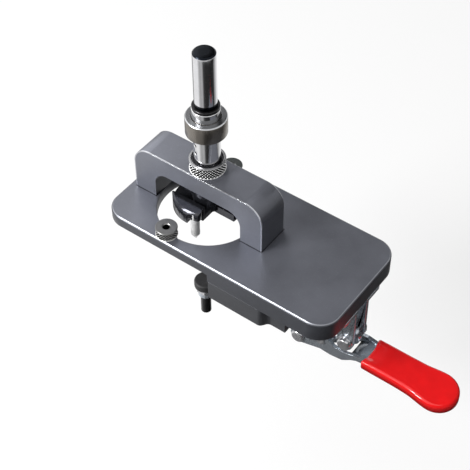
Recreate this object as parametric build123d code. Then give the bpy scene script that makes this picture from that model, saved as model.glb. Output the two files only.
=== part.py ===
from build123d import *
import math
import os

# Hinge drilling jig: a plate that lies on a cabinet door, a bridge that guides a sliding
# boring bit, and a toggle clamp under the plate that grips the door's edge.
# Millimetres. The origin is the centre of the cup to be bored, on the door's face.
# +X runs out over the door's edge to the clamp handle, +Z points away from the door.

# The cup, the door and the fits
cup_diameter = 35.0
cup_edge_distance = 5.0
board_thickness = 18.0
running_gap = 0.05
fastener_gap = 0.03
side_gap = 0.3

# Base plate
plate_length = 131.0
plate_width = 63.0
plate_left = -41.5
plate_thickness = 6.0
rim_depth = 5.0
plate_corner = 11.0
plate_chamfer = 0.8
window_radius = 25.5

# Bridge
bridge_length = 76.0
bridge_depth = 18.4
bridge_height = 27.2
beam_height = 10.6
bridge_outer_round = 10.0
bridge_inner_round = 7.5
bridge_chamfer = 0.6

# Pilot bushes for the two hinge screws
pilot_offset = 5.5
pilot_spacing = 52.0
pilot_head_radius = 5.5
pilot_head_height = 5.0
pilot_shank_radius = 3.5
pilot_bore_radius = 1.5
pilot_land_radius = 4.9

# Guide bush and knurled ring on the bridge
bush_outer_radius = 7.6
bush_top_recess = 0.8
ring_outer_radius = 8.9
ring_height = 6.2
ring_chamfer = 0.5

# Quill sleeve and depth collar
sleeve_radius = 6.45
sleeve_head_radius = 6.8
sleeve_head_rise = 4.9
collar_radius = 9.95
collar_height = 10.1
collar_raise = 16.2
collar_mouth_chamfer = 0.5
grub_radius = 2.0
grub_socket_across = 2.0
mark_radius = 0.8
mark_depth = 0.5
mark_first_drop = 5.9
mark_pitch = 4.6
mark_angle = 250.0

# Boring bit
shank_radius = 5.4
shank_above_collar = 36.4
journal_radius = 4.8
shank_chamfer = 0.7
head_height = 13.4
head_top_gap = 0.5
head_hub_radius = 8.2
wing_drop = 4.2
wing_chord = 10.4
wing_edge_chamfer = 0.9
wing_floor_height = 4.3
lip_floor_height = 2.2
lip_rake = 3.0
lip_relief = 3.0
gullet_side = 5.8
rake_face = 3.0
spur_radius = 2.25
spur_length = 17.6
spur_point = 3.4
spur_boss_radius = 3.3
spur_angle = 282.0
spur_head_grip = 4.4
spur_sink = 1.2
point_radius = 2.4
point_length = 6.0
circlip_thickness = 1.5
circlip_groove_depth = 0.5
circlip_radius = 6.6

# Fence block under the plate
block_depth = 12.0
block_inset = 0.5
block_nose_length = 28.8
block_curve_length = 5.7
block_length = 42.0
block_step_in = 3.8
block_pocket_run = 25.5
block_pocket_half_width = 17.5
block_corner = 3.0
block_edge_chamfer = 0.5

# Toggle clamp pivots, from the fence plane and the underside of the rim
arm_pivot_run = 35.5
arm_pivot_drop = 16.0
link_pivot_run = 62.8
link_pivot_drop = 25.0
handle_pivot_run = 37.5
handle_pivot_drop = 36.4
toggle_reach = 14.0
toggle_over_centre = 0.4
open_pivot_slack = 3.6
ear_end_margin = 4.2
ear_to_neck = 1.3

# Clamp sheet and pins
link_thickness = 3.0
arm_wall = 1.8
ear_wall = 1.8
handle_wall = 1.8
arm_inner_half = 1.8
ear_gap = 0.4
foot_width = 11.0
foot_thickness = 2.2
ear_left_run = 29.5
pivot_eye_radius = 5.0
lug_radius = 4.6
link_half_width = 4.4
link_ring_width = 2.0
pivot_pin_radius = 2.5
pivot_head_radius = 3.8
pivot_head_height = 0.9
toggle_pin_radius = 2.0
toggle_head_radius = 2.7
rivet_head_radius = 3.6
washer_radius = 4.2
washer_thickness = 1.0
rivet_head_height = 1.8

# Clamp arm and its two spindles
jaw_spread = 44.0
jaw_run_in = 8.7
jaw_width = 7.0
jaw_thickness = 3.8
jaw_web_run = 22.0
jaw_web_inset = 7.0
spindle_radius = 2.6
spindle_reach = 23.0
tip_radius = 5.5
tip_height = 4.5
tip_grip_share = 0.7
nut_across_flats = 8.0
nut_height = 2.7

# Handle and grip
neck_half_width = 7.0
neck_top_drop = 29.5
neck_depth = 3.0
handle_bend_run = 94.0
handle_flare = 0.8
ramp_drop = 2.4
belly_drop = 4.4
handle_flare_length = 16.0
grip_root_run = 75.0
grip_root_half_width = 8.0
grip_waist_run = 102.5
grip_waist_half_width = 8.5
grip_end_half_width = 10.3
grip_end_run = 111.3
grip_thickness = 5.9
grip_droop = 0.9
grip_cover = 0.8
grip_round = 1.8

# Screws
bridge_screw_radius = 2.5
bridge_screw_head_radius = 4.6
bridge_screw_head_height = 2.4
bridge_screw_grip = 14.0
block_screw_radius = 2.0
block_screw_head_radius = 3.5
block_screw_head_height = 4.0
bracket_screw_radius = 2.5
bracket_screw_head_radius = 4.2
bracket_screw_head_height = 2.6
screw_bite = 7.5
hex_socket_share = 0.55

# Cutting tools reach this far, past every piece
reach = 80.0

# Places worked out from the sizes above
cup_radius = cup_diameter / 2
fence_x = cup_radius + cup_edge_distance
plate_right = plate_left + plate_length
plate_centre = (plate_left + plate_right) / 2
bridge_top = plate_thickness + bridge_height
beam_bottom = bridge_top - beam_height
bridge_foot = (bridge_length - 2 * window_radius) / 2
foot_centre = window_radius + bridge_foot / 2
ring_top = bridge_top + ring_height
collar_bottom = ring_top + collar_raise
collar_top = collar_bottom + collar_height
sleeve_top = collar_top + sleeve_head_rise
shoulder = sleeve_top + circlip_thickness
shank_top = collar_top + shank_above_collar
head_top = beam_bottom - head_top_gap
head_bottom = head_top - head_height
head_middle = head_bottom + head_height / 2
wing_top = head_top - wing_drop
sleeve_bottom = head_top + 0.2
rim_bottom = -rim_depth
block_bottom = rim_bottom - block_depth
block_half_width = plate_width / 2 - block_inset
block_rear_half_width = block_half_width - block_step_in
pilot_places = [(-pilot_offset, side * pilot_spacing / 2) for side in (-1, 1)]

arm_pivot = (fence_x + arm_pivot_run, rim_bottom - arm_pivot_drop)
link_pivot = (fence_x + link_pivot_run, rim_bottom - link_pivot_drop)
handle_pivot = (fence_x + handle_pivot_run, rim_bottom - handle_pivot_drop)
strut = Vector(link_pivot[0] - handle_pivot[0], link_pivot[1] - handle_pivot[1]).normalized()
toggle_pivot = (
    handle_pivot[0] + strut.X * toggle_reach - strut.Y * toggle_over_centre,
    handle_pivot[1] + strut.Y * toggle_reach + strut.X * toggle_over_centre,
)
arm_outer_half = arm_inner_half + arm_wall
ear_inner_half = arm_outer_half + ear_gap
ear_outer_half = ear_inner_half + ear_wall
handle_inner_half = ear_outer_half + side_gap
handle_outer_half = handle_inner_half + handle_wall
ear_right_run = link_pivot_run + ear_end_margin
neck_x = fence_x + ear_right_run + ear_to_neck
neck_top = rim_bottom - neck_top_drop
bend_x = fence_x + handle_bend_run
handle_end_x = fence_x + grip_end_run
droop_slope = grip_droop / (handle_end_x - bend_x)

jaw_x = fence_x - jaw_run_in
tip_top = -board_thickness
tip_bottom = tip_top - tip_height
jaw_top = tip_bottom - nut_height
jaw_bottom = jaw_top - jaw_thickness


def on_side(sketch, low, high):
    """A sketch drawn in X and Z, made a plate between two values of Y."""
    plane = Plane(origin=(0, high, 0), x_dir=(1, 0, 0), z_dir=(0, -1, 0))
    return extrude(plane * sketch, high - low)


def both_sides(sketch, inner, outer):
    """The same plate on each side of the middle plane."""
    return on_side(sketch, inner, outer) + on_side(sketch, -outer, -inner)


def disc(place, radius):
    return Pos(place[0], place[1]) * Circle(radius)


def strap(start, end, radius):
    """A straight bar with round ends from one pivot to another."""
    run = Vector(end[0] - start[0], end[1] - start[1])
    middle = ((start[0] + end[0]) / 2, (start[1] + end[1]) / 2)
    turn = math.degrees(math.atan2(run.Y, run.X))
    bar = Pos(middle[0], middle[1]) * Rot(0, 0, turn) * Rectangle(run.length, 2 * radius)
    return bar + disc(start, radius) + disc(end, radius)


def outline(*points):
    return make_face(Polyline(*points, close=True))


def post(x, y, low, high, radius):
    """A round bar along Z."""
    return Pos(x, y, low) * Cylinder(radius, high - low, align=(Align.CENTER, Align.CENTER, Align.MIN))


def cross_pin(place, half_length, radius, head_radius, head_height):
    """A pin along Y with a low domed head past each end of the half length."""
    shaft = on_side(disc(place, radius), -half_length, half_length)
    heads = both_sides(disc(place, head_radius), half_length, half_length + head_height)
    ends = heads.faces().filter_by(Axis.Y).sort_by(Axis.Y)
    rims = ends[0].edges() + ends[-1].edges()
    return shaft + fillet(rims, head_height * 0.6)


def socket_screw(x, y, seat, radius, head_radius, head_height, bite):
    """A cap screw driven upwards: its head hangs below the seat."""
    screw = post(x, y, seat, seat + bite, radius) + post(x, y, seat - head_height, seat, head_radius)
    socket = extrude(Pos(x, y, seat - head_height) * RegularPolygon(head_radius * hex_socket_share, 6),
                     head_height * hex_socket_share)
    return screw - socket


def group(parts):
    return Compound(children=[part.solid() for part in parts])


# Base plate
def plate_outline():
    return Pos(plate_centre, 0) * RectangleRounded(plate_length, plate_width, plate_corner)


def base_plate():
    plate = extrude(plate_outline(), plate_thickness)
    plate = chamfer(plate.faces().sort_by(Axis.Z)[-1].edges(), plate_chamfer)
    rim = extrude(plate_outline(), -rim_depth)
    rim -= Pos(fence_x, 0, 0) * Box(
        plate_length, 2 * plate_width, 4 * rim_depth, align=(Align.MAX, Align.CENTER, Align.CENTER))
    rim = chamfer(rim.faces().sort_by(Axis.Z)[0].edges(), plate_chamfer / 2)
    window = post(0, 0, -2 * rim_depth, 2 * plate_thickness, window_radius)
    for x, y in pilot_places:
        window -= post(x, y, -2 * rim_depth, 2 * plate_thickness, pilot_land_radius)
    plate = plate + rim - window
    for x, y in pilot_places:
        plate -= post(x, y, -1, plate_thickness + 1, pilot_shank_radius + fastener_gap)
    for side in (-1, 1):
        x = side * foot_centre
        plate -= post(x, 0, -1, plate_thickness + 1, bridge_screw_radius + fastener_gap)
        plate -= countersink(x)
    plate -= post(foot_centre, 0, rim_bottom - 1, 0, bridge_screw_head_radius + side_gap)
    for x, y in block_screw_places() + bracket_screw_places():
        plate -= post(x, y, rim_bottom - 1, rim_bottom + screw_bite + 0.3, block_screw_radius + fastener_gap)
    return plate


def countersink(x):
    grow = fastener_gap
    return Pos(x, 0, -grow) * Cone(
        bridge_screw_head_radius + grow, bridge_screw_radius + grow, bridge_screw_head_height,
        align=(Align.CENTER, Align.CENTER, Align.MIN))


def bridge_screws():
    screws = []
    for side in (-1, 1):
        x = side * foot_centre
        head = Pos(x, 0, 0) * Cone(
            bridge_screw_head_radius, bridge_screw_radius, bridge_screw_head_height,
            align=(Align.CENTER, Align.CENTER, Align.MIN))
        screw = head + post(x, 0, 1, plate_thickness + bridge_screw_grip, bridge_screw_radius)
        screw -= extrude(Pos(x, 0) * RegularPolygon(bridge_screw_radius * 0.6, 6), 1.6)
        screws.append(screw)
    return group(screws)


# Bridge
def bridge():
    half = bridge_length / 2
    arch = Pos(0, plate_thickness + bridge_height / 2) * Rectangle(bridge_length, bridge_height)
    arch = fillet(arch.vertices().group_by(Axis.Y)[-1], bridge_outer_round)
    opening_height = bridge_height - beam_height
    opening = Pos(0, plate_thickness + opening_height / 2) * Rectangle(2 * window_radius, opening_height)
    opening = fillet(opening.vertices().group_by(Axis.Y)[-1], bridge_inner_round)
    body = on_side(arch - opening, -bridge_depth / 2, bridge_depth / 2)
    for face in (body.faces().sort_by(Axis.Y)[0], body.faces().sort_by(Axis.Y)[-1]):
        rims = [edge for edge in face.outer_wire().edges() if outside_arch(edge, half)]
        body = chamfer(rims, bridge_chamfer)
    body -= post(0, 0, beam_bottom - 1, bridge_top + 1, bush_outer_radius + running_gap)
    for side in (-1, 1):
        body -= post(side * foot_centre, 0, plate_thickness - 1,
                     plate_thickness + bridge_screw_grip + 0.5, bridge_screw_radius + fastener_gap)
    return body


def outside_arch(edge, half):
    """The outer edges of the arch: its two sides, its shoulders and its top."""
    centre = edge.center()
    on_end = abs(abs(centre.X) - half) < bridge_outer_round
    on_top = centre.Z > bridge_top - bridge_outer_round and abs(centre.X) < half
    return (on_end and centre.Z > plate_thickness + 1) or (on_top and centre.Z > beam_bottom + 1)


def guide_bush():
    bush = post(0, 0, beam_bottom, ring_top - bush_top_recess, bush_outer_radius)
    bush -= post(0, 0, beam_bottom - 1, ring_top + 1, sleeve_radius + running_gap)
    top = bush.faces().filter_by(Axis.Z).sort_by(Axis.Z)[-1]
    return chamfer(top.edges(), 0.3)


def knurled_ring():
    ring = post(0, 0, bridge_top, ring_top, ring_outer_radius)
    ring = chamfer(ring.edges().filter_by(GeomType.CIRCLE), ring_chamfer)
    return ring - post(0, 0, bridge_top - 1, ring_top + 1, bush_outer_radius + running_gap)


def pilot_bush(x, y):
    head_top_z = plate_thickness + pilot_head_height
    head = post(x, y, plate_thickness, head_top_z, pilot_head_radius)
    head = chamfer(head.edges().filter_by(GeomType.CIRCLE), 0.4)
    bush = head + post(x, y, 0, plate_thickness + 0.5, pilot_shank_radius)
    bush -= post(x, y, -1, head_top_z + 1, pilot_bore_radius)
    mouth = Pos(x, y, head_top_z) * Cone(
        pilot_bore_radius, pilot_bore_radius + 0.7, 0.7, align=(Align.CENTER, Align.CENTER, Align.MAX))
    return bush - mouth


# Quill
def quill_sleeve():
    sleeve = post(0, 0, sleeve_bottom, collar_bottom, sleeve_radius)
    head = post(0, 0, collar_bottom, sleeve_top, sleeve_head_radius)
    head = chamfer(head.faces().sort_by(Axis.Z)[-1].edges(), 0.35)
    sleeve = sleeve + head
    sleeve -= post(0, 0, sleeve_bottom - 1, sleeve_top + 1, journal_radius + running_gap)
    for step in (0, 1):
        z = collar_bottom - mark_first_drop - step * mark_pitch
        mark = Rot(0, 90, 0) * Cylinder(mark_radius, 2 * mark_depth)
        sleeve -= Rot(0, 0, mark_angle) * Pos(sleeve_radius, 0, z) * mark
    return sleeve


def grub_hole_z():
    return collar_bottom + collar_height / 2


def depth_collar():
    collar = post(0, 0, collar_bottom, collar_top, collar_radius)
    collar = chamfer(collar.edges().filter_by(GeomType.CIRCLE), 0.6)
    collar -= post(0, 0, collar_bottom - 1, collar_top + 1, sleeve_head_radius + running_gap)
    collar -= Pos(0, 0, collar_top) * Cone(
        sleeve_head_radius, sleeve_head_radius + collar_mouth_chamfer, collar_mouth_chamfer,
        align=(Align.CENTER, Align.CENTER, Align.MAX))
    hole = Cylinder(grub_radius + fastener_gap, collar_radius, align=(Align.CENTER, Align.CENTER, Align.MIN))
    return collar - Pos(0, 0, grub_hole_z()) * Rot(-90, 0, 0) * hole


def collar_screw():
    length = collar_radius - sleeve_head_radius - 2 * running_gap - 0.2
    place = Pos(0, sleeve_head_radius + 2 * running_gap, grub_hole_z()) * Rot(-90, 0, 0)
    grub = place * Cylinder(grub_radius, length, align=(Align.CENTER, Align.CENTER, Align.MIN))
    socket = extrude(RegularPolygon(grub_socket_across / 2, 6), length)
    return grub - place * Pos(0, 0, length / 2) * socket


# Boring bit
def circlip_band(radius):
    """The height between the sleeve and the shank's shoulder, outside the bottom of the groove."""
    band = post(0, 0, sleeve_top, shoulder, radius)
    return band - post(0, 0, sleeve_top - 1, shoulder + 1, journal_radius - circlip_groove_depth)


def drill_shank():
    """The part that the drill's chuck holds, and below its shoulder the thinner journal in the quill."""
    shank = post(0, 0, shoulder, shank_top, shank_radius)
    shank = chamfer(shank.faces().sort_by(Axis.Z)[-1].edges(), shank_chamfer)
    shank += post(0, 0, head_middle, shoulder, journal_radius)
    return shank - circlip_band(journal_radius + 1)


def retaining_ring():
    ring = circlip_band(circlip_radius)
    outer = ring.edges().filter_by(lambda edge: edge.geom_type == GeomType.CIRCLE and edge.radius > shank_radius)
    return chamfer(outer, 0.25)


def spur_place(turn):
    reach = cup_radius - spur_radius
    angle = math.radians(spur_angle + turn)
    return reach * math.cos(angle), reach * math.sin(angle)


def quarter(x, y, low, high):
    """A tall corner piece that reaches to +X and -Y from the place given."""
    return Pos(x, y, low) * Box(reach, reach, high - low, align=(Align.MIN, Align.MAX, Align.MIN))


def bit_head():
    """Two wings turned half way round from each other, and the hub between them."""
    rim = post(0, 0, head_bottom, wing_top, cup_radius)
    rim = chamfer(rim.faces().sort_by(Axis.Z)[-1].edges(), wing_edge_chamfer)
    body = rim
    for turn in (0, 180):
        spin = Rot(0, 0, turn)
        gullet = quarter(gullet_side, -rake_face, head_bottom - 1, head_top)
        beside_spur = quarter(0.3, -wing_chord - 1.8, head_bottom - 1, head_top)
        floor = Pos(0, -wing_chord, head_bottom + wing_floor_height) * Box(
            reach, wing_chord, reach, align=(Align.CENTER, Align.MIN, Align.MIN))
        lip = Pos(-head_hub_radius, -wing_chord + lip_rake, head_bottom + lip_floor_height) * Box(
            reach, wing_chord - lip_rake, reach, align=(Align.MAX, Align.MIN, Align.MIN))
        relief = Pos(-cup_radius, -rake_face, head_bottom) * Rot(0, -lip_relief, 0) * Box(
            2 * reach, reach, head_height, align=(Align.CENTER, Align.MAX, Align.MAX))
        body -= spin * (gullet + beside_spur + floor + lip + relief)
    body += post(0, 0, head_bottom + 2, head_top, head_hub_radius)
    for turn in (0, 180):
        x, y = spur_place(turn)
        low = head_bottom + spur_head_grip
        boss = post(x, y, low, wing_top, spur_boss_radius)
        arm = Rot(0, 0, turn) * Pos(0, -wing_chord, low) * Box(
            2 * spur_boss_radius, cup_radius - wing_chord, wing_top - low,
            align=(Align.CENTER, Align.MAX, Align.MIN))
        body += (boss + arm) & rim
        body -= post(x, y, head_bottom - 5, spur_top(), spur_radius + fastener_gap)
    body -= post(0, 0, head_middle, head_top + 1, journal_radius + fastener_gap)
    body -= post(0, 0, head_bottom - 1, head_middle, point_radius + fastener_gap)
    return body


def spur_top():
    return wing_top - spur_sink


def scribing_spurs():
    spurs = []
    for turn in (0, 180):
        x, y = spur_place(turn)
        top = spur_top()
        spur = post(x, y, top - spur_length + spur_point, top, spur_radius)
        spur += Pos(x, y, top - spur_length + spur_point) * Cone(
            0.3, spur_radius, spur_point, align=(Align.CENTER, Align.CENTER, Align.MAX))
        spurs.append(spur)
    return group(spurs)


def centre_point():
    tip = Pos(0, 0, head_bottom) * Cone(
        0.2, point_radius, point_length, align=(Align.CENTER, Align.CENTER, Align.MAX))
    return post(0, 0, head_bottom, head_middle, point_radius) + tip


# Fence block
def block_screw_places():
    nose_x = fence_x + block_pocket_run / 2
    nose_y = block_half_width - 2 * block_screw_head_radius
    rail_x = fence_x + block_length - block_screw_head_radius - 2.5
    rail_y = (block_rear_half_width + block_pocket_half_width) / 2
    return [(x, side * y) for x, y in ((nose_x, nose_y), (rail_x, rail_y)) for side in (-1, 1)]


def block_plan():
    """Seen from above: full width at the fence, then an S curve in to the narrower rails."""
    nose_end = fence_x + block_nose_length
    rail_start = nose_end + block_curve_length
    right = fence_x + block_length
    wide = block_half_width
    narrow = block_rear_half_width
    edge = Line((fence_x, wide), (nose_end, wide))
    edge += Spline((nose_end, wide), (rail_start, narrow), tangents=((1, 0), (1, 0)))
    edge += Line((rail_start, narrow), (right, narrow))
    ends = Line((fence_x, wide), (fence_x, -wide)) + Line((right, narrow), (right, -narrow))
    return make_face(edge + mirror(edge, about=Plane.XZ) + ends)


def fence_block():
    block = Pos(0, 0, block_bottom) * extrude(block_plan(), block_depth)
    pocket = Pos(fence_x + block_pocket_run, 0, rim_bottom + 1) * Box(
        block_length, 2 * block_pocket_half_width, 3 * block_depth, align=(Align.MIN, Align.CENTER, Align.MAX))
    pocket = fillet(pocket.edges().filter_by(Axis.Z).group_by(Axis.X)[0], block_corner)
    sides = [edge for edge in block.edges() if abs(edge.center().Y) > block_pocket_half_width
             and abs(edge.center().Z - rim_bottom - block_depth / 2) > 0.1 and not runs_upright(edge)]
    block = chamfer(sides, block_edge_chamfer) - pocket
    for x, y in block_screw_places():
        block -= post(x, y, block_bottom - 1, rim_bottom + 1, block_screw_radius + fastener_gap)
        block -= post(x, y, block_bottom - 1, block_bottom + block_screw_head_height,
                      block_screw_head_radius + side_gap)
    return block


def fence_screws():
    seat = block_bottom + block_screw_head_height
    bite = rim_bottom + screw_bite - seat
    screws = [
        socket_screw(x, y, seat, block_screw_radius, block_screw_head_radius, block_screw_head_height, bite)
        for x, y in block_screw_places()
    ]
    return group(screws)


# Toggle clamp bracket
def bracket_screw_places():
    middle = ear_outer_half + foot_width / 2 + 0.6
    return [(fence_x + run, side * middle) for run in (ear_left_run + 8, ear_right_run - 6) for side in (-1, 1)]


def ear_profile():
    left = fence_x + ear_left_run
    right = fence_x + ear_right_run
    strip_low = rim_bottom - 8
    leg_left = link_pivot[0] - pivot_eye_radius
    strip = outline((left, rim_bottom), (right, rim_bottom), (right, strip_low), (left, strip_low))
    leg = outline((leg_left, strip_low + 1), (right, strip_low + 1), (right, link_pivot[1]), (leg_left, link_pivot[1]))
    front = outline((arm_pivot[0] - pivot_eye_radius, strip_low + 1), (arm_pivot[0] + pivot_eye_radius, strip_low + 1),
                    (arm_pivot[0] + pivot_eye_radius, arm_pivot[1]), (arm_pivot[0] - pivot_eye_radius, arm_pivot[1]))
    leg_radius = (right - leg_left) / 2
    profile = strip + leg + front + disc(arm_pivot, pivot_eye_radius)
    profile += disc(((right + leg_left) / 2, link_pivot[1]), leg_radius)
    return profile - disc(arm_pivot, pivot_pin_radius + fastener_gap) - disc(link_pivot, pivot_pin_radius + fastener_gap)


def bracket(side):
    low, high = sorted((side * ear_inner_half, side * ear_outer_half))
    ear = on_side(ear_profile(), low, high)
    foot_y = side * (ear_outer_half + foot_width / 2)
    foot = Pos(fence_x + (ear_left_run + ear_right_run) / 2, foot_y, rim_bottom) * Box(
        ear_right_run - ear_left_run, foot_width, foot_thickness, align=(Align.CENTER, Align.CENTER, Align.MAX))
    outer = foot.edges().filter_by(Axis.Z).sort_by(lambda edge: side * edge.center().Y)[-2:]
    foot = fillet(outer, 3)
    body = ear + foot
    for x, y in bracket_screw_places():
        body -= post(x, y, rim_bottom - 2 * foot_thickness, rim_bottom + 1, block_screw_radius + 0.4)
    return body


def bracket_screws():
    seat = rim_bottom - foot_thickness
    bite = screw_bite + foot_thickness
    screws = [
        socket_screw(x, y, seat, block_screw_radius, bracket_screw_head_radius, bracket_screw_head_height, bite)
        for x, y in bracket_screw_places()
    ]
    return group(screws)


def pivot_washers():
    ring = disc(link_pivot, washer_radius) - disc(link_pivot, pivot_pin_radius + fastener_gap)
    inner = ear_outer_half
    outer = inner + washer_thickness
    return group([on_side(ring, inner, outer), on_side(ring, -outer, -inner)])


def arm_pin():
    return cross_pin(arm_pivot, ear_outer_half, pivot_pin_radius, pivot_head_radius, pivot_head_height)


def link_pin():
    half = ear_outer_half + washer_thickness
    return cross_pin(link_pivot, half, pivot_pin_radius, rivet_head_radius, rivet_head_height)


# Clamp arm
def clamp_arm():
    stem_right = arm_pivot[0] - 8
    rib_left = stem_right - 22
    bell = outline(
        (rib_left, jaw_bottom), (handle_pivot[0] - 5, jaw_bottom - 3), (handle_pivot[0] - 3, handle_pivot[1] - 3.5),
        (handle_pivot[0] + lug_radius, handle_pivot[1]), (arm_pivot[0] + pivot_eye_radius, arm_pivot[1]),
        (arm_pivot[0] - 1, arm_pivot[1] + pivot_eye_radius - 0.1), (stem_right + 1, jaw_top + 5.2),
        (rib_left, jaw_top + 1.5))
    bell += disc(arm_pivot, pivot_eye_radius) + disc(handle_pivot, lug_radius)
    bell -= disc(arm_pivot, pivot_pin_radius + running_gap)
    bell -= disc(handle_pivot, pivot_pin_radius + running_gap)
    cheeks = both_sides(bell, arm_inner_half, arm_outer_half)
    stem_left = jaw_x - jaw_width / 2
    stem_half = arm_outer_half + 0.5
    stem = Pos((stem_left + stem_right) / 2, 0) * Rectangle(stem_right - stem_left, 2 * stem_half)
    bar = Pos(jaw_x, 0) * RectangleRounded(jaw_width, jaw_spread + jaw_width, jaw_width / 2 - 0.3)
    web_half = jaw_spread / 2 - jaw_web_inset
    web_x = jaw_x + jaw_web_run
    web = outline((jaw_x, -web_half), (jaw_x, web_half), (web_x, stem_half), (web_x, -stem_half))
    jaw = extrude(Pos(0, 0, jaw_bottom) * (stem + bar + web), jaw_thickness)
    jaw = chamfer(jaw.faces().sort_by(Axis.Z)[0].edges(), 0.5)
    arm = jaw + cheeks
    for side in (-1, 1):
        arm -= post(jaw_x, side * jaw_spread / 2, jaw_bottom - 1, jaw_top + 1, spindle_radius + fastener_gap)
    return arm


def clamp_spindle(y):
    low = tip_top - spindle_reach
    spindle = post(jaw_x, y, low, tip_bottom + tip_grip_share * tip_height, spindle_radius)
    spindle = chamfer(spindle.edges().filter_by(GeomType.CIRCLE), 0.5)
    socket = extrude(Pos(jaw_x, y, low) * RegularPolygon(spindle_radius * 0.6, 6), 2.5)
    return spindle - socket


def hex_nut(x, y, low):
    nut = extrude(Pos(x, y, low) * RegularPolygon(nut_across_flats / 2, 6, major_radius=False), nut_height)
    outer = post(x, y, low, low + nut_height, nut_across_flats / 2 + 0.75)
    outer = chamfer(outer.edges().filter_by(GeomType.CIRCLE), nut_height / 6)
    return (nut & outer) - post(x, y, low - 1, low + nut_height + 1, spindle_radius + fastener_gap)


def spindle_nuts():
    return group([hex_nut(jaw_x, side * jaw_spread / 2, jaw_top) for side in (-1, 1)])


def rubber_tip(y):
    tip = post(jaw_x, y, tip_bottom, tip_top, tip_radius)
    top = tip.edges().filter_by(GeomType.CIRCLE).sort_by(Axis.Z)[-1]
    tip = fillet(top, 1.0)
    bottom = tip.edges().filter_by(GeomType.CIRCLE).sort_by(Axis.Z)[0]
    tip = fillet(bottom, 1.2)
    seat = tip_bottom + tip_grip_share * tip_height
    return tip - post(jaw_x, y, tip_bottom - 1, seat, spindle_radius + fastener_gap)


# Toggle link
def toggle_link():
    eye_radius = toggle_pin_radius + open_pivot_slack
    body = strap(toggle_pivot, link_pivot, link_half_width)
    body += disc(toggle_pivot, eye_radius + link_ring_width) + disc(link_pivot, pivot_eye_radius)
    body -= disc(toggle_pivot, eye_radius)
    body -= disc(link_pivot, pivot_pin_radius + running_gap)
    return on_side(body, -link_thickness / 2, link_thickness / 2)


# Handle
def handle_plan(neck, end_x):
    """Half widths seen from above: full at the pivots, then in to the neck."""
    wide = handle_outer_half - neck_half_width + neck
    start = handle_pivot[0] - 10
    shoulder = neck_x - 3
    waist = shoulder + 8
    flare = end_x - handle_flare_length
    points = [(start, wide), (shoulder, wide), (waist, neck), (flare, neck), (end_x, neck + handle_flare)]
    mirrored = [(x, -y) for x, y in reversed(points)]
    return outline(*points, *mirrored)


def across(profile):
    """A side view made wider than the whole clamp."""
    return on_side(profile, -reach / 2, reach / 2)


def upright(plan):
    """A top view made tall from the plate's underside down."""
    return extrude(Pos(0, 0, -reach) * plan, reach)


def neck_strip(start, end, top, thickness):
    """The neck's side view: level to the bend, then down at the droop."""
    end_top = top - droop_slope * (end - bend_x)
    return outline((start, top), (bend_x, top), (end, end_top),
                   (end, end_top - thickness), (bend_x, top - thickness), (start, top - thickness))


def handle_side():
    """The side view: a lug at each pivot, a dip under the link pivot and the long neck."""
    low = neck_top - neck_depth
    body = outline(
        (handle_pivot[0] - 1.5, handle_pivot[1] + 4.3), (toggle_pivot[0] - 2, toggle_pivot[1] + 4.2),
        (toggle_pivot[0] + 3.2, toggle_pivot[1] + 3.0), (link_pivot[0] - 5, neck_top - 0.9),
        (link_pivot[0] + 2, neck_top - 0.9), (neck_x, neck_top), (neck_x + 2, neck_top), (neck_x + 2, low),
        (link_pivot[0] + 4.5, low - ramp_drop / 2), (link_pivot[0], low - belly_drop),
        (toggle_pivot[0] + 6, low - belly_drop - 1.0), (toggle_pivot[0], toggle_pivot[1] - 7.2),
        (handle_pivot[0] + 1.2, handle_pivot[1] - 4.5))
    return body + disc(handle_pivot, lug_radius) + neck_strip(neck_x + 1, handle_end_x, neck_top, neck_depth)


def ramp(web_top):
    """The web's start, which drops with the lower edge of the side walls."""
    run = neck_x + 3 - link_pivot[0]
    return outline((neck_x + 3, web_top), (link_pivot[0] + 3, web_top - ramp_drop), (link_pivot[0] + 3, web_top - 2 * run),
                   (neck_x + 3, web_top - handle_wall))


def handle_lever():
    shape = across(handle_side()) & upright(handle_plan(neck_half_width, handle_end_x))
    inner = upright(handle_plan(neck_half_width - handle_wall, handle_end_x + 1))
    web_top = neck_top - neck_depth + handle_wall
    web = across(neck_strip(neck_x + 2, handle_end_x + 2, web_top, handle_wall) + ramp(web_top))
    lever = shape - (inner - web)
    for place, radius in ((handle_pivot, pivot_pin_radius), (toggle_pivot, toggle_pin_radius)):
        lever -= across(disc(place, radius + fastener_gap))
    return lever


def grip():
    root = fence_x + grip_root_run
    waist = fence_x + grip_waist_run
    end_centre = fence_x + grip_end_run
    far = end_centre + grip_end_half_width + 1
    top = neck_top + grip_cover
    drop = droop_slope * (far - bend_x)
    edge = Spline((root, grip_root_half_width), (waist, grip_waist_half_width), (end_centre, grip_end_half_width),
                  tangents=((1, 0.03), (1, 0)))
    tip = CenterArc((end_centre, 0), grip_end_half_width, -90, 180)
    plan = make_face(edge + tip + mirror(edge, about=Plane.XZ)
                     + Line((root, grip_root_half_width), (root, -grip_root_half_width)))
    upper = Spline((root, top), (bend_x, top), (far, top - drop), tangents=((1, 0), (1, -1.3 * droop_slope)))
    lower = Pos(0, -grip_thickness) * upper
    side = make_face(upper + lower + Line(upper @ 0, lower @ 0) + Line(upper @ 1, lower @ 1))
    body = across(side) & upright(plan)
    rims = [rim for rim in body.edges() if rim.center().X > root + 1 and not runs_upright(rim)]
    body = fillet(rims, grip_round)
    return body - grip_cavity(root - 1)


def grip_cavity(start):
    """The room for the end of the handle inside the grip: the channel, with vinyl between its walls."""
    end = handle_end_x + running_gap
    room = across(neck_strip(start, end, neck_top, neck_depth)) & upright(
        handle_plan(neck_half_width + running_gap, end))
    filling = across(neck_strip(start, end + 2, neck_top + 1, 1 + neck_depth - handle_wall)) & upright(
        handle_plan(neck_half_width - handle_wall - running_gap, end + 1))
    return room - filling


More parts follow.
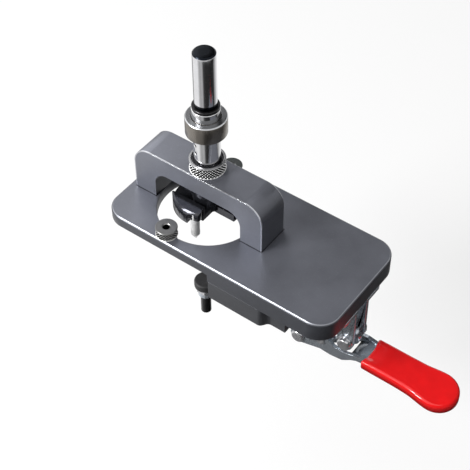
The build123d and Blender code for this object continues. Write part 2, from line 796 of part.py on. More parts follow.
def runs_upright(edge):
    ends = edge @ 0, edge @ 1
    return abs(ends[0].Z - ends[1].Z) > 0.7 * edge.length


def handle_pin():
    return cross_pin(handle_pivot, handle_outer_half, pivot_pin_radius, rivet_head_radius, rivet_head_height)


def toggle_pin():
    return cross_pin(toggle_pivot, handle_outer_half, toggle_pin_radius, toggle_head_radius, pivot_head_height)


def build():
    half_jaw = jaw_spread / 2
    return {
        "base_plate": base_plate(),
        "bridge": bridge(),
        "bridge_screws": bridge_screws(),
        "guide_bush": guide_bush(),
        "knurled_ring": knurled_ring(),
        "pilot_bush_front": pilot_bush(*pilot_places[0]),
        "pilot_bush_back": pilot_bush(*pilot_places[1]),
        "quill_sleeve": quill_sleeve(),
        "depth_collar": depth_collar(),
        "collar_screw": collar_screw(),
        "drill_shank": drill_shank(),
        "retaining_ring": retaining_ring(),
        "bit_head": bit_head(),
        "scribing_spurs": scribing_spurs(),
        "centre_point": centre_point(),
        "fence_block": fence_block(),
        "fence_screws": fence_screws(),
        "bracket_front": bracket(-1),
        "bracket_back": bracket(1),
        "bracket_screws": bracket_screws(),
        "pivot_washers": pivot_washers(),
        "arm_pin": arm_pin(),
        "link_pin": link_pin(),
        "clamp_arm": clamp_arm(),
        "spindle_front": clamp_spindle(-half_jaw),
        "spindle_back": clamp_spindle(half_jaw),
        "spindle_nuts": spindle_nuts(),
        "rubber_tip_front": rubber_tip(-half_jaw),
        "rubber_tip_back": rubber_tip(half_jaw),
        "toggle_link": toggle_link(),
        "handle_lever": handle_lever(),
        "handle_pin": handle_pin(),
        "toggle_pin": toggle_pin(),
        "grip": grip(),
    }


os.makedirs("parts", exist_ok=True)
for name, shape in build().items():
    export_step(shape, os.path.join("parts", name + ".step"))
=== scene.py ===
# A hinge drilling jig: finishes, the turned and knurled pieces, the dipped grip, the light and the camera.
import math

import bmesh
import bpy
import numpy as np
from mathutils import Matrix, Vector


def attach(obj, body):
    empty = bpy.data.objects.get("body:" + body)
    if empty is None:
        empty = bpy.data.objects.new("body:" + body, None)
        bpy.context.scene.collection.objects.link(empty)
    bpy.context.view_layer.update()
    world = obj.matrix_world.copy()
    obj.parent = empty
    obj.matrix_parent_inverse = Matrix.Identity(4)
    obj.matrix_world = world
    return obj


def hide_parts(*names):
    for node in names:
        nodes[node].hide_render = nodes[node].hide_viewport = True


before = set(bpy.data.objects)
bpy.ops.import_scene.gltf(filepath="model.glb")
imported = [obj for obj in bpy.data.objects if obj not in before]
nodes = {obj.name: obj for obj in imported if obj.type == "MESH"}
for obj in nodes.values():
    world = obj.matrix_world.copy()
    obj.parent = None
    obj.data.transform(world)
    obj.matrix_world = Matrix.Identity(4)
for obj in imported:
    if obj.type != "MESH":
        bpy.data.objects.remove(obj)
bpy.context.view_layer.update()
mm = 0.001
print("stage: frame loaded,", len(nodes), "nodes")


# Shader maths

class Wire:
    # One output of a node. The operators add Math nodes, so that wires and numbers mix freely.
    def __init__(self, finish, socket):
        self.finish = finish
        self.socket = socket

    def maths(self, operation, first, second=0.0):
        return self.finish.add("ShaderNodeMath", {"operation": operation}, {0: first, 1: second})

    def __add__(self, other):
        return self.maths("ADD", self, other)

    def __radd__(self, other):
        return self.maths("ADD", other, self)

    def __sub__(self, other):
        return self.maths("SUBTRACT", self, other)

    def __rsub__(self, other):
        return self.maths("SUBTRACT", other, self)

    def __mul__(self, other):
        return self.maths("MULTIPLY", self, other)

    def __rmul__(self, other):
        return self.maths("MULTIPLY", other, self)

    def __truediv__(self, other):
        return self.maths("DIVIDE", self, other)

    def __rtruediv__(self, other):
        return self.maths("DIVIDE", other, self)

    def __pow__(self, other):
        return self.maths("POWER", self, other)

    def above(self, edge):
        return self.maths("GREATER_THAN", self, edge)

    def size(self):
        return self.maths("ABSOLUTE", self)

    def most(self, other):
        return self.maths("MAXIMUM", self, other)


class Finish:
    # One material. A node is added by its type, with its settings first and then the values or wires of its
    # sockets.
    def __init__(self, name):
        self.material = bpy.data.materials.new(name)
        self.material.use_nodes = True
        self.tree = self.material.node_tree
        self.tree.nodes.clear()

    def add(self, kind, settings=None, values=None, output=0):
        node = self.tree.nodes.new(kind)
        for key, value in (settings or {}).items():
            if key == "stops":
                ramp = node.color_ramp.elements
                ramp.remove(ramp[1])
                for i, (place, level) in enumerate(value):
                    stop = ramp.new(place) if i else ramp[0]
                    stop.position = place
                    stop.color = (level, level, level, 1.0)
            else:
                setattr(node, key, value)
        for key, value in (values or {}).items():
            if isinstance(value, Wire):
                self.tree.links.new(value.socket, node.inputs[key])
            else:
                node.inputs[key].default_value = value
        return Wire(self, node.outputs[output]) if len(node.outputs) else None

    def place(self, centre=(0.0, 0.0, 0.0)):
        # The point on the piece in millimetres, counted from a centre. Output 3 is the Object coordinates.
        point = self.add("ShaderNodeTexCoord", output=3)
        return self.add("ShaderNodeMapping", {}, {
            "Vector": point, "Location": [-c for c in centre], "Scale": [1 / mm] * 3})

    def noise(self, point, scale, detail=2.0, rough=0.5):
        return self.add("ShaderNodeTexNoise", {}, {
            "Vector": point, "Scale": scale, "Detail": detail, "Roughness": rough})

    def split(self, point):
        first = self.add("ShaderNodeSeparateXYZ", {}, {"Vector": point})
        return [Wire(self, output) for output in first.socket.node.outputs]

    def attribute(self, name):
        # Output 2 is the attribute as one number.
        return self.add("ShaderNodeAttribute", {"attribute_name": name}, output=2)

    def ramp(self, wire, low, high):
        # 0 at low, 1 at high, straight in between and level past both.
        return self.add("ShaderNodeMapRange", {"clamp": True}, {
            "Value": wire, "From Min": low, "From Max": high, "To Min": 0.0, "To Max": 1.0})

    def blendColour(self, share, first, second):
        # Sockets 0, 6 and 7 take the second colour's share and the two colours, and output 2 is the mix.
        values = {0: share, 6: first, 7: second}
        for key in (6, 7):
            if not isinstance(values[key], Wire):
                values[key] = (*values[key], 1.0)
        return self.add("ShaderNodeMix", {"data_type": "RGBA"}, values, output=2)

    def bump(self, height, strength, distance, under=None):
        values = {"Height": height, "Strength": strength, "Distance": distance * mm}
        if under is not None:
            values["Normal"] = under
        return self.add("ShaderNodeBump", {}, values)

    def shade(self, **sockets):
        names = {"colour": "Base Color", "metal": "Metallic", "rough": "Roughness", "normal": "Normal",
                 "coat": "Coat Weight", "coatRough": "Coat Roughness", "specular": "Specular IOR Level"}
        values = {names[key]: value for key, value in sockets.items()}
        surface = self.add("ShaderNodeBsdfPrincipled", {}, values)
        self.add("ShaderNodeOutputMaterial", {}, {"Surface": surface})
        return self.material


blasted = {
    "plate": (0.165, 0.172, 0.200),
    "bridge": (0.165, 0.172, 0.200),
    "block": (0.072, 0.074, 0.082),
    # cut is the colour of the painted highlight on the chamfers.
    "cut": (0.56, 0.57, 0.60),
    "metal": 0.6,
    "rough": 0.42,
}


def blastedMetal(name, colour, rough=blasted["rough"], edges=None):
    # Fine blasted and anodised aluminium: a dense grain, faint clouds and a few rubbed patches.
    # edges gives two shares at each point: how much painted highlight a chamfer gets, and how much painted
    # shade.
    f = Finish(name)
    p = f.place()
    cloud = f.noise(p, 0.035, 4.0, 0.55)
    grain = f.noise(p, 4.2, 2.0, 0.6)
    speck = f.ramp(f.noise(p, 1.7, 1.0, 0.4), 0.64, 0.74)
    rubbed = f.ramp(f.noise(p, 0.11, 5.0, 0.7), 0.55, 0.75)
    paler = tuple(min(1.0, c * 1.18) for c in colour)
    darker = tuple(c * 0.88 for c in colour)
    tone = f.blendColour(f.ramp(cloud, 0.32, 0.68), darker, paler)
    tone = f.blendColour(grain * 0.35, tone, tuple(c * 0.74 for c in colour))
    tone = f.blendColour(speck * 0.25, tone, tuple(c * 1.6 for c in colour))
    roughness = rough + (cloud - 0.5) * 0.12 + (grain - 0.5) * 0.10 - rubbed * 0.07
    metal = blasted["metal"]
    if edges is not None:
        bright, dark = edges(f, p)
        # The dark share paints shade, and the bright share paints a highlight in the cut colour.
        tone = f.blendColour(dark, tone, tuple(c * 0.12 for c in colour))
        tone = f.blendColour(bright * 0.9, tone, blasted["cut"])
        roughness = roughness - bright * 0.14
        metal = bright * (1 - metal) + metal
    return f.shade(colour=tone, metal=metal, rough=roughness, normal=f.bump(grain, 0.16, 0.05))


# The shares are of the painted highlight on the chamfer and of the painted shade everywhere else.
plateMarks = {  # places in millimetres, and shares of brightness and darkness
    "middle": 24.0, "halfLength": 65.5, "halfWidth": 31.5, "corner": 11.0,
    "wallInset": 0.38, "wallTop": 5.8, "wallDark": 0.68,
    "lineInset": 0.76, "lineLow": 5.5, "lineBright": 0.3,
    "windowRadius": 25.65, "windowDark": 0.85,
    "footInner": 25.2, "footOuter": 38.35, "footHalfWidth": 9.55, "footLow": 5.9, "footDark": 0.8,
    "slowStart": -15.0, "slowEnd": 65.0, "slowDark": 0.17,
}


def plateEdges(f, p):
    # The distance from the plate's rounded outline is negative inside. The chamfer's upper half gets a
    # painted highlight. Its lower half, the walls below it and in the window get painted shade, a hair line
    # round the bridge's feet is a painted contact shadow, and the whole plate is painted slowly darker along
    # X as painted shade.
    k = plateMarks
    x, y, z = f.split(p)
    acrossX = ((x - k["middle"]).size() - (k["halfLength"] - k["corner"])).most(0.0)
    acrossY = (y.size() - (k["halfWidth"] - k["corner"])).most(0.0)
    distance = (acrossX * acrossX + acrossY * acrossY) ** 0.5 - k["corner"]
    outer = distance.above(-k["wallInset"])
    wall = outer * (1 - z.above(k["wallTop"])) * k["wallDark"]
    line = distance.above(-k["lineInset"]) * (1 - outer) * z.above(k["lineLow"]) * k["lineBright"]
    window = (k["windowRadius"] - (x * x + y * y) ** 0.5).above(0) * k["windowDark"]
    footX = (k["footOuter"] - x.size()).above(0) * x.size().above(k["footInner"])
    foot = footX * (k["footHalfWidth"] - y.size()).above(0) * z.above(k["footLow"]) * k["footDark"]
    slow = f.ramp(x, k["slowStart"], k["slowEnd"]) * k["slowDark"]
    return line, wall.most(foot).most(window).most(slow)


# The shares are of painted shade, and the chamfer line is a painted highlight.
bridgeMarks = {  # places in millimetres, and shares of darkness
    "halfLength": 38.0, "top": 33.2, "corner": 10.0, "lineInset": 0.54, "lineOut": 8.66,
    "endStart": 29.0, "endStop": 37.9, "endInset": 0.25, "endHalfWidth": 8.7, "endDark": 0.5,
    "standTop": 6.3, "standDark": 0.85,
    "archHalfLength": 25.6, "archTop": 22.7, "archHalfWidth": 9.1, "archDark": 0.85,
    "slowStart": -15.0, "slowEnd": 30.0, "slowLow": 33.0, "slowDark": 0.13,
}


def bridgeEdges(f, p):
    # The same for the bridge's front and back chamfers, whose line is a painted highlight. Painted shade
    # darkens the far end face, a hair line where the bridge stands as a painted contact shadow, the inside of
    # the arch and, slowly along X, the top.
    k = bridgeMarks
    x, y, z = f.split(p)
    acrossX = (x.size() - (k["halfLength"] - k["corner"])).most(0.0)
    acrossZ = (z - (k["top"] - k["corner"])).most(0.0)
    distance = (acrossX * acrossX + acrossZ * acrossZ) ** 0.5 - k["corner"]
    line = distance.above(-k["lineInset"]) * y.size().above(k["lineOut"])
    endFace = distance.above(-k["endInset"]) * (k["endHalfWidth"] - y.size()).above(0)
    end = f.ramp(x, k["endStart"], k["endStop"]) * endFace * k["endDark"]
    stand = (k["standTop"] - z).above(0) * k["standDark"]
    archX = (k["archHalfLength"] - x.size()).above(0)
    arch = archX * (k["archTop"] - z).above(0) * (k["archHalfWidth"] - y.size()).above(0) * k["archDark"]
    slow = f.ramp(x, k["slowStart"], k["slowEnd"]) * z.above(k["slowLow"]) * k["slowDark"]
    return line, end.most(stand).most(arch).most(slow)


steelMarks = {  # colours, and in millimetres how softly each of them starts
    "inBore": (0.006, 0.006, 0.006), "paintedCutShade": (0.004, 0.004, 0.004), "oxide": (0.012, 0.014, 0.018),
    "faceSoft": 0.05, "boreSoft": 0.1, "oxideSoft": 0.12, "endSoft": 0.04,
}


def turnedSteel(name, colour, rough, centre=(0.0, 0.0, 0.0), metal=1.0, lines=0.14, faces=(), groove=False,
                bore=None, ground=None):
    # Steel off a lathe: fine rings that follow height on a wall and radius on a face.
    # A row of faces is a least radius, a least height and the colour of what lies past both, which paints
    # shade on tops and a highlight on a rim. groove darkens what the relief cuts deepest as painted shade,
    # inside the radius of bore it is painted shade, and outside the two heights of ground it is black oxide.
    k = steelMarks
    f = Finish(name)
    p = f.place(centre)
    x, y, z = f.split(p)
    radius = (x * x + y * y) ** 0.5
    along = z + radius * 0.83
    rings = f.add("ShaderNodeTexNoise", {"noise_dimensions": "1D"}, {
        "W": along, "Scale": 9.0, "Detail": 3.0, "Roughness": 0.7})
    stain = f.noise(p, 0.22, 4.0, 0.6)
    tone = f.blendColour(f.ramp(stain, 0.35, 0.7), colour, tuple(c * 0.92 for c in colour))
    tone = f.blendColour(rings * 0.3, tone, tuple(c * 0.6 for c in colour))
    soft = k["faceSoft"]
    # Painted shade on the tops, and a painted highlight on a rim.
    for least, height, shade in faces:
        face = f.ramp(radius, least - soft, least + soft) * f.ramp(z, height - soft, height + soft)
        tone = f.blendColour(face * 0.9, tone, shade)
    # Painted shade inside the bore.
    if bore is not None:
        tone = f.blendColour(f.ramp(radius, bore, bore - k["boreSoft"]), tone, k["inBore"])
    roughness = rough + (rings - 0.5) * 0.14 + (stain - 0.5) * 0.08
    # Painted shade in the deepest cuts of a knurl and in the dimples.
    if groove:
        cut = f.ramp(f.attribute("groove"), 0.34, 0.52)
        tone = f.blendColour(cut, tone, k["paintedCutShade"])
        roughness = roughness + cut * 0.3
    if ground is not None:
        low, high = ground
        under = f.ramp(z, low + k["oxideSoft"], low - k["oxideSoft"])
        black = under.most(f.ramp(z, high - k["endSoft"], high))
        tone = f.blendColour(black, tone, k["oxide"])
        roughness = roughness + black * 0.1
    return f.shade(colour=tone, metal=metal, rough=roughness, normal=f.bump(rings, lines, 0.03))


# The channel's stain is painted shade and its lit colour a painted reflection.
channel = {  # places along X and half a width in millimetres, and two colours
    "paintedShade": 88.5, "bright": 93.5, "litFrom": 92.0, "litTo": 94.5, "halfWidth": 5.3,
    "stain": 0.04, "lit": (0.62, 0.72, 0.80),
}


def zincSheet(name, colour, rough, inside=None):
    # Zinc plated steel sheet: a cool tone with soft clouds, a faint rolled grain and small pits.
    # inside is the channel of the handle, painted from shade to a pale painted reflection between two places
    # along X. Its painted shade is a share of the sheet's colour.
    f = Finish(name)
    p = f.place()
    cloud = f.noise(p, 0.16, 5.0, 0.6)
    drawnOut = f.add("ShaderNodeVectorMath", {"operation": "MULTIPLY"}, {0: p, 1: (0.35, 4.0, 4.0)})
    rolled = f.noise(drawnOut, 1.0)
    pits = f.ramp(f.noise(p, 2.6, 1.0), 0.7, 0.8)
    tone = f.blendColour(f.ramp(cloud, 0.3, 0.7), colour, tuple(c * 0.82 for c in colour))
    tone = f.blendColour(pits * 0.2, tone, tuple(c * 0.6 for c in colour))
    if inside is not None:
        along, across = f.split(p)[:2]
        within = (inside["halfWidth"] - across.size()).above(0)
        # Painted shade towards the pivots and a painted reflection towards the grip.
        paintedShade = f.ramp(along, inside["bright"], inside["paintedShade"]) * within
        tone = f.blendColour(paintedShade * 0.92, tone, tuple(c * inside["stain"] for c in colour))
        lit = f.ramp(along, inside["litFrom"], inside["litTo"]) * within
        tone = f.blendColour(lit, tone, inside["lit"])
    roughness = rough + (cloud - 0.5) * 0.12 + (rolled - 0.5) * 0.08
    return f.shade(colour=tone, metal=0.8, rough=roughness, normal=f.bump(rolled, 0.05, 0.03))


def blackSteel(name, colour, rough):
    # Black oxide on steel: nearly black, oily, with brown where it is thin.
    f = Finish(name)
    p = f.place()
    cloud = f.noise(p, 0.3, 4.0, 0.6)
    grain = f.noise(p, 3.4, 2.0)
    thin = (colour[0] * 1.7, colour[1] * 1.6, colour[2] * 1.5)
    tone = f.blendColour(f.ramp(cloud, 0.4, 0.75), colour, thin)
    roughness = rough + (cloud - 0.5) * 0.14 + (grain - 0.5) * 0.08
    return f.shade(colour=tone, metal=0.75, rough=roughness, normal=f.bump(grain, 0.06, 0.04))


def dippedVinyl(name, colour):
    # Thick glossy vinyl: a soft orange peel, slow waves from the dip and a clear skin. The groove number is
    # how far down the side a point is, and the red is painted darker with it as painted shade.
    f = Finish(name)
    p = f.place()
    peel = f.noise(p, 0.85, 2.0)
    wave = f.noise(p, 0.09, 2.0)
    dust = f.ramp(f.noise(p, 2.3, 1.0), 0.72, 0.8)
    tone = f.blendColour(f.ramp(wave, 0.3, 0.7), colour, tuple(c * 0.86 for c in colour))
    tone = f.blendColour(dust * 0.1, tone, (0.8, 0.25, 0.22))
    # Painted shade down the grip's sides.
    tone = f.blendColour(f.ramp(f.attribute("groove"), 0.12, 0.9), tone, tuple(c * 0.3 for c in colour))
    roughness = 0.2 + (peel - 0.5) * 0.06 + (wave - 0.5) * 0.05
    height = f.bump(wave, 0.12, 0.6)
    return f.shade(colour=tone, metal=0.0, rough=roughness, coat=1.0, coatRough=0.03, specular=0.2,
                   normal=f.bump(peel, 0.04, 0.1, height))


def mattRubber(name, colour):
    # Matt rubber: a soft grain, with a paler bloom in patches.
    f = Finish(name)
    p = f.place()
    grain = f.noise(p, 2.4, 3.0)
    bloom = f.ramp(f.noise(p, 0.25, 4.0), 0.45, 0.8)
    tone = f.blendColour(bloom * 0.5, colour, tuple(c * 2.4 for c in colour))
    return f.shade(colour=tone, metal=0.0, rough=0.62 + (grain - 0.5) * 0.2, normal=f.bump(grain, 0.2, 0.08))


pilotX = -5.5  # the two pilot bushes stand at (pilotX, -pilotY) and (pilotX, pilotY), in millimetres
pilotY = 26.0
finishes = {
    "plate": blastedMetal("platePaint", blasted["plate"], edges=plateEdges),
    "bridge": blastedMetal("bridgePaint", blasted["bridge"], edges=bridgeEdges),
    "block": blastedMetal("blockPaint", blasted["block"], 0.5),
    # faces paint the ring's and the bushes' tops darker as painted shade.
    "ring": turnedSteel("ringSteel", (0.95, 0.95, 0.95), 0.3, groove=True,
                        faces=[(0.0, 38.95, (0.22, 0.22, 0.23))]),
    "bushFront": turnedSteel("frontBushSteel", (0.72, 0.72, 0.71), 0.38, (pilotX, -pilotY, 0.0), groove=True,
                             bore=1.8, faces=[(0.0, 10.7, (0.095, 0.095, 0.095))]),
    # The back bush is the same steel as the front one, painted darker as painted shade.
    "bushBack": turnedSteel("backBushPaintedShadeSteel", (0.22, 0.23, 0.23), 0.38, (pilotX, pilotY, 0.0), groove=True,
                            bore=1.8, faces=[(0.0, 10.85, (0.06, 0.065, 0.065))]),
    "guide": turnedSteel("guideSteel", (0.05, 0.05, 0.055), 0.3),
    "sleeve": turnedSteel("sleeveSteel", (0.80, 0.80, 0.81), 0.1, groove=True),
    # The collar's second row of faces is a painted highlight on its outer rim.
    "collar": turnedSteel("collarSteel", (0.25, 0.23, 0.205), 0.30,
                          faces=[(6.9, 65.45, (0.15, 0.155, 0.165)), (9.5, 65.1, (0.55, 0.56, 0.58))]),
    "shank": turnedSteel("shankSteel", (0.82, 0.82, 0.84), 0.1, lines=0.05, ground=(74.5, 101.35)),
    "spur": turnedSteel("spurSteel", (0.85, 0.85, 0.85), 0.3, lines=0.05, metal=0.4),
    "head": blackSteel("headBlack", (0.036, 0.038, 0.046), 0.15),
    "screw": blackSteel("screwBlack", (0.020, 0.020, 0.022), 0.30),
    "zinc": zincSheet("zincSheet", (0.52, 0.56, 0.61), 0.2),
    "handle": zincSheet("handleZinc", (0.52, 0.56, 0.61), 0.2, channel),
    "pin": zincSheet("pinZinc", (0.60, 0.60, 0.62), 0.16),
    "vinyl": dippedVinyl("redVinyl", (0.92, 0.011, 0.013)),
    "rubber": mattRubber("tipRubber", (0.014, 0.014, 0.015)),
}
finishOf = {
    "base_plate": "plate", "bridge": "bridge", "fence_block": "block",
    "bridge_screws": "screw", "fence_screws": "screw", "bracket_screws": "screw", "collar_screw": "screw",
    "guide_bush": "guide", "knurled_ring": "ring",
    "pilot_bush_front": "bushFront", "pilot_bush_back": "bushBack",
    "quill_sleeve": "sleeve", "depth_collar": "collar", "drill_shank": "shank", "retaining_ring": "screw",
    "bit_head": "head", "centre_point": "head", "scribing_spurs": "spur",
    "bracket_front": "zinc", "bracket_back": "zinc", "clamp_arm": "zinc", "toggle_link": "zinc",
    "handle_lever": "handle", "arm_pin": "pin", "link_pin": "pin", "handle_pin": "pin", "toggle_pin": "pin",
    "pivot_washers": "pin", "spindle_front": "screw", "spindle_back": "screw", "spindle_nuts": "pin",
    "rubber_tip_front": "rubber", "rubber_tip_back": "rubber", "grip": "vinyl",
}
softEdge = {  # width in millimetres of the small rounding on each CAD piece's edges
    "base_plate": 0.2, "bridge": 0.2, "fence_block": 0.3, "bit_head": 0.25, "clamp_arm": 0.4,
    "bracket_front": 0.3, "bracket_back": 0.3, "toggle_link": 0.25, "handle_lever": 0.35,
    "depth_collar": 0.15, "spindle_nuts": 0.2, "bracket_screws": 0.2, "fence_screws": 0.2,
    "pivot_washers": 0.12,
}
softening = {"weld": 1e-6, "segments": 2, "leastAngle": 35}  # metres, faces across an edge, degrees
for name, node in nodes.items():
    material = finishes[finishOf[name]]
    if not node.material_slots:
        node.data.materials.append(material)
    for slot in node.material_slots:
        slot.material = material
    if name in softEdge:
        weld = node.modifiers.new("weld", "WELD")
        weld.merge_threshold = softening["weld"]
        soft = node.modifiers.new("soften", "BEVEL")
        soft.width = softEdge[name] * mm
        soft.segments = softening["segments"]
        soft.limit_method = "ANGLE"
        soft.angle_limit = math.radians(softening["leastAngle"])
        soft.use_clamp_overlap = True
        soft.harden_normals = True
print("stage: finishes on the CAD pieces")


# Shapes worked out on grids, with every size in millimetres

def meshFromGrid(name, points, closeV=False, groove=None):
    # points[u, v] in millimetres become one surface. Each cell of the grid is a face, and the grid wraps
    # round along u, and along v where closeV says so. groove is a number for each point, for the finish.
    countU, countV = points.shape[:2]
    index = np.arange(countU * countV).reshape(countU, countV)
    index = np.vstack([index, index[:1]])
    if closeV:
        index = np.hstack([index, index[:, :1]])
    corners = [index[:-1, :-1], index[1:, :-1], index[1:, 1:], index[:-1, 1:]]
    quads = np.stack(corners, axis=-1).reshape(-1, 4)
    mesh = bpy.data.meshes.new(name)
    mesh.from_pydata((points.reshape(-1, 3) * mm).tolist(), [], quads.tolist())
    if groove is not None:
        depth = mesh.attributes.new("groove", "FLOAT", "POINT")
        depth.data.foreach_set("value", np.ascontiguousarray(groove, dtype=np.float32).ravel())
    shape = bmesh.new()
    shape.from_mesh(mesh)
    bmesh.ops.remove_doubles(shape, verts=shape.verts, dist=1e-7)  # both distances in metres
    bmesh.ops.dissolve_degenerate(shape, dist=1e-8, edges=shape.edges)
    bmesh.ops.recalc_face_normals(shape, faces=shape.faces)
    shape.to_mesh(mesh)
    shape.free()
    mesh.shade_smooth()
    piece = bpy.data.objects.new(name, mesh)
    bpy.context.scene.collection.objects.link(piece)
    return piece


def roundCorners(corners, steps=4):
    # corners are rows of (radius from the axis, height, rounding). Each corner becomes a quarter curve
    # P(t) = (1-t)^2 A + 2t(1-t) C + t^2 B, with A and B the rounding's length away on the two sides.
    c = np.array(corners, float)
    at, size = c[:, :2], c[:, 2:3]
    back = np.roll(at, 1, axis=0) - at
    ahead = np.roll(at, -1, axis=0) - at
    a = at + size * back / np.linalg.norm(back, axis=1, keepdims=True)
    b = at + size * ahead / np.linalg.norm(ahead, axis=1, keepdims=True)
    t = np.linspace(0, 1, steps)[None, :, None]
    curve = (1 - t) ** 2 * a[:, None] + 2 * t * (1 - t) * at[:, None] + t ** 2 * b[:, None]
    return curve.reshape(-1, 2)


def fillIn(profile, longest):
    # The profile again, with points added so that none of its straight runs is longer than asked.
    ahead = np.roll(profile, -1, axis=0)
    length = np.linalg.norm(ahead - profile, axis=1)
    parts = np.maximum(1, np.ceil(length / longest)).astype(int)
    start = np.repeat(np.arange(len(profile)), parts)
    first = np.cumsum(parts) - parts
    share = (np.arange(parts.sum()) - np.repeat(first, parts)) / np.repeat(parts, parts)
    return profile[start] + share[:, None] * (ahead[start] - profile[start])


def turned(name, profile, centre=(0.0, 0.0), steps=128, relief=None):
    # A closed profile of (r, z) carried round the axis: x = r cos u, y = r sin u, z = z.
    # relief(u, r, z) is taken off r, and its share of the deepest cut goes to the finish as the groove.
    u = np.linspace(0, 2 * np.pi, steps, endpoint=False)[:, None]
    r, z = profile[None, :, 0] + 0 * u, profile[None, :, 1] + 0 * u
    cut = relief(u, r, z) if relief is not None else 0 * r
    r = r - cut
    points = np.stack([centre[0] + r * np.cos(u), centre[1] + r * np.sin(u), z], axis=-1)
    return meshFromGrid(name, points, closeV=True, groove=cut / max(cut.max(), 1e-6))


def knurl(outer, low, high, teeth, depth):
    # Diamond points: two saw waves cross at plus and minus the lead, and a point's height is the lower of the
    # two. The cut is depth times 1 - height, and it fades out at both ends of the wall.
    pitch = 2 * np.pi * outer / teeth
    fade = 0.15
    wallFrom = outer - 0.06

    def relief(u, r, z):
        a = (teeth * u / (2 * np.pi) + z / pitch) % 1
        b = (teeth * u / (2 * np.pi) - z / pitch) % 1
        height = 1 - np.maximum(np.abs(2 * a - 1), np.abs(2 * b - 1))
        inside = np.clip(np.minimum(z - low, high - z) / fade, 0, 1) * (r > wallFrom)
        return depth * inside * (1 - height)
    return relief


def finishPiece(piece, node, body, finish):
    # Gives a new piece its finish, hides the CAD node that it stands for and hangs the piece on the body that
    # carries it.
    piece.data.materials.append(finishes[finish])
    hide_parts(node)
    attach(piece, body)


knurledRing = {  # each chamfer is how far it goes inward and how far up or down
    "outer": 8.9, "bore": 7.66, "low": 33.2, "high": 39.4,
    "lowChamfer": (0.1, 0.12), "highChamfer": (0.45, 0.35),
    "teeth": 34, "stepsPerTooth": 12, "depth": 0.75, "knurlUp": 0.1, "cell": 0.14,
}


def makeKnurledRing():
    k = knurledRing
    lowIn, lowUp = k["lowChamfer"]
    highIn, highDown = k["highChamfer"]
    profile = roundCorners([
        (k["bore"], k["low"], 0.1), (k["outer"] - lowIn, k["low"], 0.05),
        (k["outer"], k["low"] + lowUp, 0.05), (k["outer"], k["high"] - highDown, 0.12),
        (k["outer"] - highIn, k["high"], 0.12), (k["bore"], k["high"], 0.1)])
    relief = knurl(k["outer"], k["low"] + k["knurlUp"], k["high"] - highDown, k["teeth"], k["depth"])
    steps = k["teeth"] * k["stepsPerTooth"]
    ring = turned("knurledRing", fillIn(profile, k["cell"]), steps=steps, relief=relief)
    finishPiece(ring, "knurled_ring", "frame", "ring")


pilotBush = {  # each chamfer is how far it goes inward, or outward at the bore, and how far up or down
    "head": 5.5, "shank": 3.5, "bore": 1.5, "bottom": 0.0, "seat": 6.0, "top": 11.0,
    "lowChamfer": (0.25, 0.3), "highChamfer": (0.35, 0.4), "sink": (0.6, 0.65),
    "teeth": 22, "stepsPerTooth": 12, "depth": 0.6, "cell": 0.14,
}


def makePilotBush(y, node, finish):
    k = pilotBush
    lowIn, lowUp = k["lowChamfer"]
    highIn, highDown = k["highChamfer"]
    sinkOut, sinkDown = k["sink"]
    knurlLow, knurlHigh = k["seat"] + lowUp, k["top"] - highDown
    profile = roundCorners([
        (k["bore"], k["bottom"], 0.15), (k["shank"], k["bottom"], 0.2), (k["shank"], k["seat"], 0.1),
        (k["head"] - lowIn, k["seat"], 0.1), (k["head"], knurlLow, 0.1), (k["head"], knurlHigh, 0.15),
        (k["head"] - highIn, k["top"], 0.15), (k["bore"] + sinkOut, k["top"], 0.12),
        (k["bore"], k["top"] - sinkDown, 0.12)])
    relief = knurl(k["head"], knurlLow, knurlHigh, k["teeth"], k["depth"])
    name = "pilotBush" + node.split("_")[-1].title()
    bush = turned(name, fillIn(profile, k["cell"]), (pilotX, y), k["teeth"] * k["stepsPerTooth"], relief)
    finishPiece(bush, node, "frame", finish)


quill = {  # markAngle is in degrees, and marks are the heights of the two dimples
    "bottom": 22.3, "neck": 55.6, "radius": 6.45, "headRadius": 6.8, "top": 70.6, "bore": 4.85,
    "markRadius": 1.05, "markDepth": 0.8, "markAngle": 248.0, "marks": (49.7, 45.1),
    "wallWithin": 0.05, "cell": 0.3, "steps": 200,
}


def makeSleeve():
    q = quill
    profile = roundCorners([
        (q["bore"], q["bottom"], 0.2), (q["radius"], q["bottom"], 0.3), (q["radius"], q["neck"], 0.05),
        (q["headRadius"], q["neck"], 0.05), (q["headRadius"], q["top"], 0.3), (q["bore"], q["top"], 0.2)])

    def drilled(u, r, z):
        # Two round dimples: the cut is the dimple's depth times the root of 1 - (distance / radius)^2.
        sink = 0 * r
        for height in q["marks"]:
            across = q["radius"] * np.angle(np.exp(1j * (u - math.radians(q["markAngle"]))))
            away = (across ** 2 + (z - height) ** 2) / q["markRadius"] ** 2
            sink = np.maximum(sink, np.sqrt(np.clip(1 - away, 0, 1)))
        return q["markDepth"] * sink * (r > q["radius"] - q["wallWithin"]) * (z < q["neck"])
    sleeve = turned("quillSleeve", fillIn(profile, q["cell"]), steps=q["steps"], relief=drilled)
    finishPiece(sleeve, "quill_sleeve", "quill", "sleeve")


guideBush = {"bore": 6.5, "outer": 7.6, "bottom": 22.6, "top": 38.6, "cell": 1.0}


def makeGuideBush():
    g = guideBush
    profile = roundCorners([
        (g["bore"], g["bottom"], 0.2), (g["outer"], g["bottom"], 0.2), (g["outer"], g["top"], 0.25),
        (g["bore"], g["top"], 0.35)])
    bush = turned("guideBush", fillIn(profile, g["cell"]))
    finishPiece(bush, "guide_bush", "frame", "guide")


shank = {"radius": 5.4, "journal": 4.8, "groove": 4.3, "low": 15.4, "grooveLow": 70.6, "shoulder": 72.1,
         "top": 102.1, "chamfer": 0.75, "cell": 4.0}


